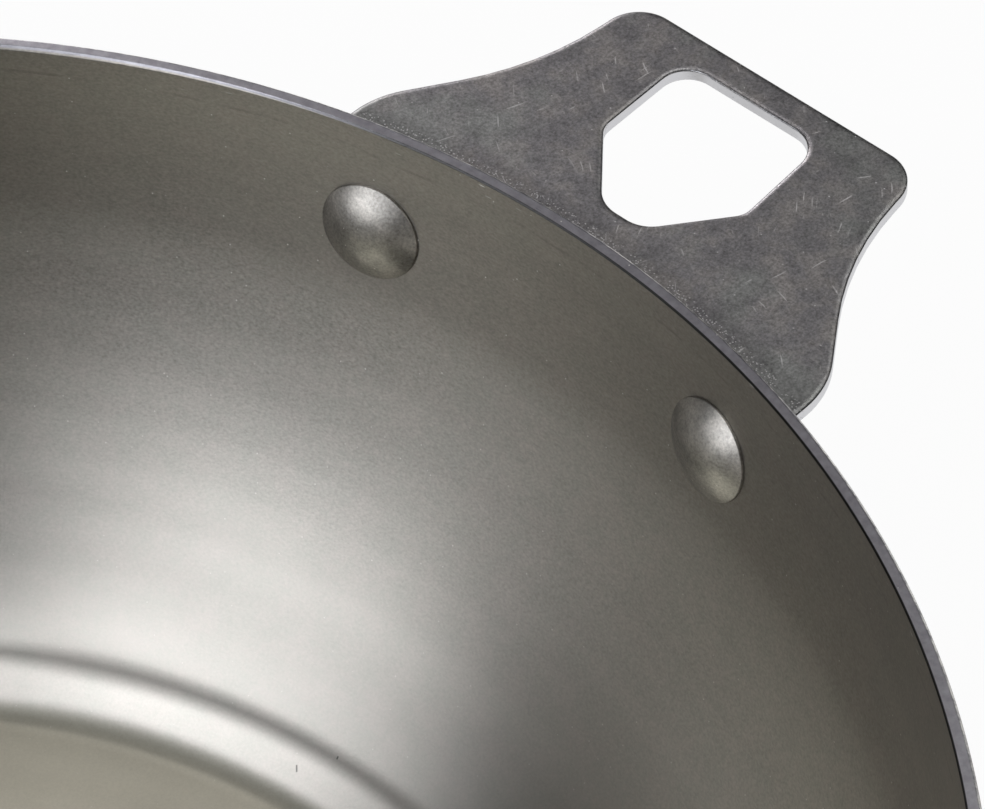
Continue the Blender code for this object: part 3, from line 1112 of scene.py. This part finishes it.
def makeRivets():
    points, facings = rivetPlaces()
    profile = turnedSource("rivetProfile", rivetProfile(), rivet["guideRadius"])
    seats = sourceObject("rivetSeats", points)
    facing = seats.data.attributes.new("facing", "FLOAT_VECTOR", "POINT")
    facing.data.foreach_set("vector", np.array(facings).ravel())
    values = {"Profile": profile, "Turn Steps": rivet["turnSteps"], "Guide Radius": rivet["guideRadius"],
              "Weld": weld, "Dent": rivet["dent"], "Seed": rivet["seed"]}
    made = grown(seats, rivetTree(rivetSteel()), values, "rivets")
    bpy.data.objects.remove(profile)
    place(made, "rivet_steel", "rivet_right_a", "rivet_right_b", "rivet_left_a", "rivet_left_b")


makeRivets()
print("rivets set")


# Floor and light

stage = {
    "floorSize": 12.0,
    "floorColour": (0.8, 0.8, 0.8, 1.0),
    "floorWhite": 0.96,  # share of plain white that the camera and reflections see
    "worldColour": (0.02, 0.02, 0.02, 1.0),
}

lampDistance = 1.6
powerShare = 4.0  # power of an area lamp for each unit of radiance and area
lampColours = {
    "cool": (0.94, 0.955, 1.0),
    "plain": (1.0, 0.99, 0.97),
    "warm": (1.0, 0.955, 0.975),
}

# Azimuth from +X towards +Y and elevation in degrees, width and height in metres, radiance, colour
softboxes = {
    "lowWindow": (172.0, 18.0, 1.05, 0.60, 0.71, "cool"),
    "windowBar": (165.0, 24.0, 0.90, 0.30, 1.97, "cool"),
    "lowMiddle": (165.0, 22.0, 0.39, 0.39, 0.89, "cool"),
    "lowCentre": (180.0, 22.0, 0.39, 0.39, 1.65, "cool"),
    "lowLeft": (195.0, 22.0, 0.39, 0.39, 1.21, "cool"),
    "sill": (165.0, 8.0, 0.42, 0.39, 1.84, "cool"),
    "sideSill": (152.0, 8.0, 0.55, 0.39, 2.29, "cool"),
    "sideWindow": (150.0, 50.0, 0.50, 0.50, 2.84, "cool"),
    "middleWindow": (165.0, 50.0, 0.27, 0.39, 2.58, "cool"),
    "centreWindow": (180.0, 50.0, 0.27, 0.39, 5.17, "cool"),
    "highMiddle": (165.0, 64.0, 0.18, 0.39, 1.41, "cool"),
    "highLeft": (195.0, 64.0, 0.18, 0.39, 5.82, "cool"),
    "ceiling": (180.0, 78.0, 0.40, 0.30, 0.91, "cool"),
    "sidePanel": (270.0, 30.0, 0.60, 0.60, 1.60, "plain"),
    "farPanel": (0.0, 50.0, 0.60, 0.60, 1.17, "plain"),
    "rearCeiling": (15.0, 70.0, 0.19, 0.42, 5.02, "plain"),
    "rearPanel": (55.0, 25.0, 0.51, 0.42, 5.02, "warm"),
    "rearStrip": (55.0, 55.0, 0.32, 0.42, 1.68, "warm"),
}


def addFloor():
    half = stage["floorSize"] / 2.0
    mesh = bpy.data.meshes.new("floor")
    corners = [(-half, -half, 0.0), (half, -half, 0.0), (half, half, 0.0), (-half, half, 0.0)]
    mesh.from_pydata(corners, [], [(0, 1, 2, 3)])
    material, graph = newMaterial("paleFloor")
    matt = graph.node("ShaderNodeBsdfDiffuse", None, {"Color": stage["floorColour"]})
    white = graph.node("ShaderNodeEmission", None, {"Strength": 1.0})
    rays = graph.tree.nodes.new("ShaderNodeLightPath")
    camera, glossy, through = [Wire(graph, rays.outputs["Is " + kind + " Ray"])
                               for kind in ("Camera", "Glossy", "Transmission")]
    seen = camera.maths("MAXIMUM", camera.maths("MAXIMUM", camera, glossy), through)
    share = seen * stage["floorWhite"]
    mixed = graph.node("ShaderNodeMixShader", None, {0: share, 1: matt, 2: white})
    graph.node("ShaderNodeOutputMaterial", None, {"Surface": mixed})
    mesh.materials.append(material)
    floor = link(bpy.data.objects.new("floor", mesh))


def addWorld():
    world = bpy.data.worlds.new("studio")
    world.use_nodes = True
    world.node_tree.nodes["Background"].inputs["Color"].default_value = stage["worldColour"]
    world.node_tree.nodes["Background"].inputs["Strength"].default_value = 1.0
    bpy.context.scene.world = world


def addSoftbox(name, azimuth, elevation, width, height, level, colour):
    azimuth, elevation = math.radians(azimuth), math.radians(elevation)
    away = Vector((math.cos(azimuth) * math.cos(elevation), math.sin(azimuth) * math.cos(elevation),
                   math.sin(elevation)))
    data = bpy.data.lights.new(name, "AREA")
    data.shape = "RECTANGLE"
    data.size = width
    data.size_y = height
    data.energy = powerShare * level * width * height
    data.color = lampColours[colour]
    lamp = link(bpy.data.objects.new(name, data))
    target = Vector((0.0, 0.0, pot["height"] / 2.0))
    lamp.location = target + away * lampDistance
    lamp.rotation_mode = "QUATERNION"
    lamp.rotation_quaternion = away.to_track_quat("Z", "Y")


addFloor()
addWorld()
for name, box in softboxes.items():
    addSoftbox(name, *box)
bpy.context.scene.view_settings.view_transform = "Standard"
print("studio lit")
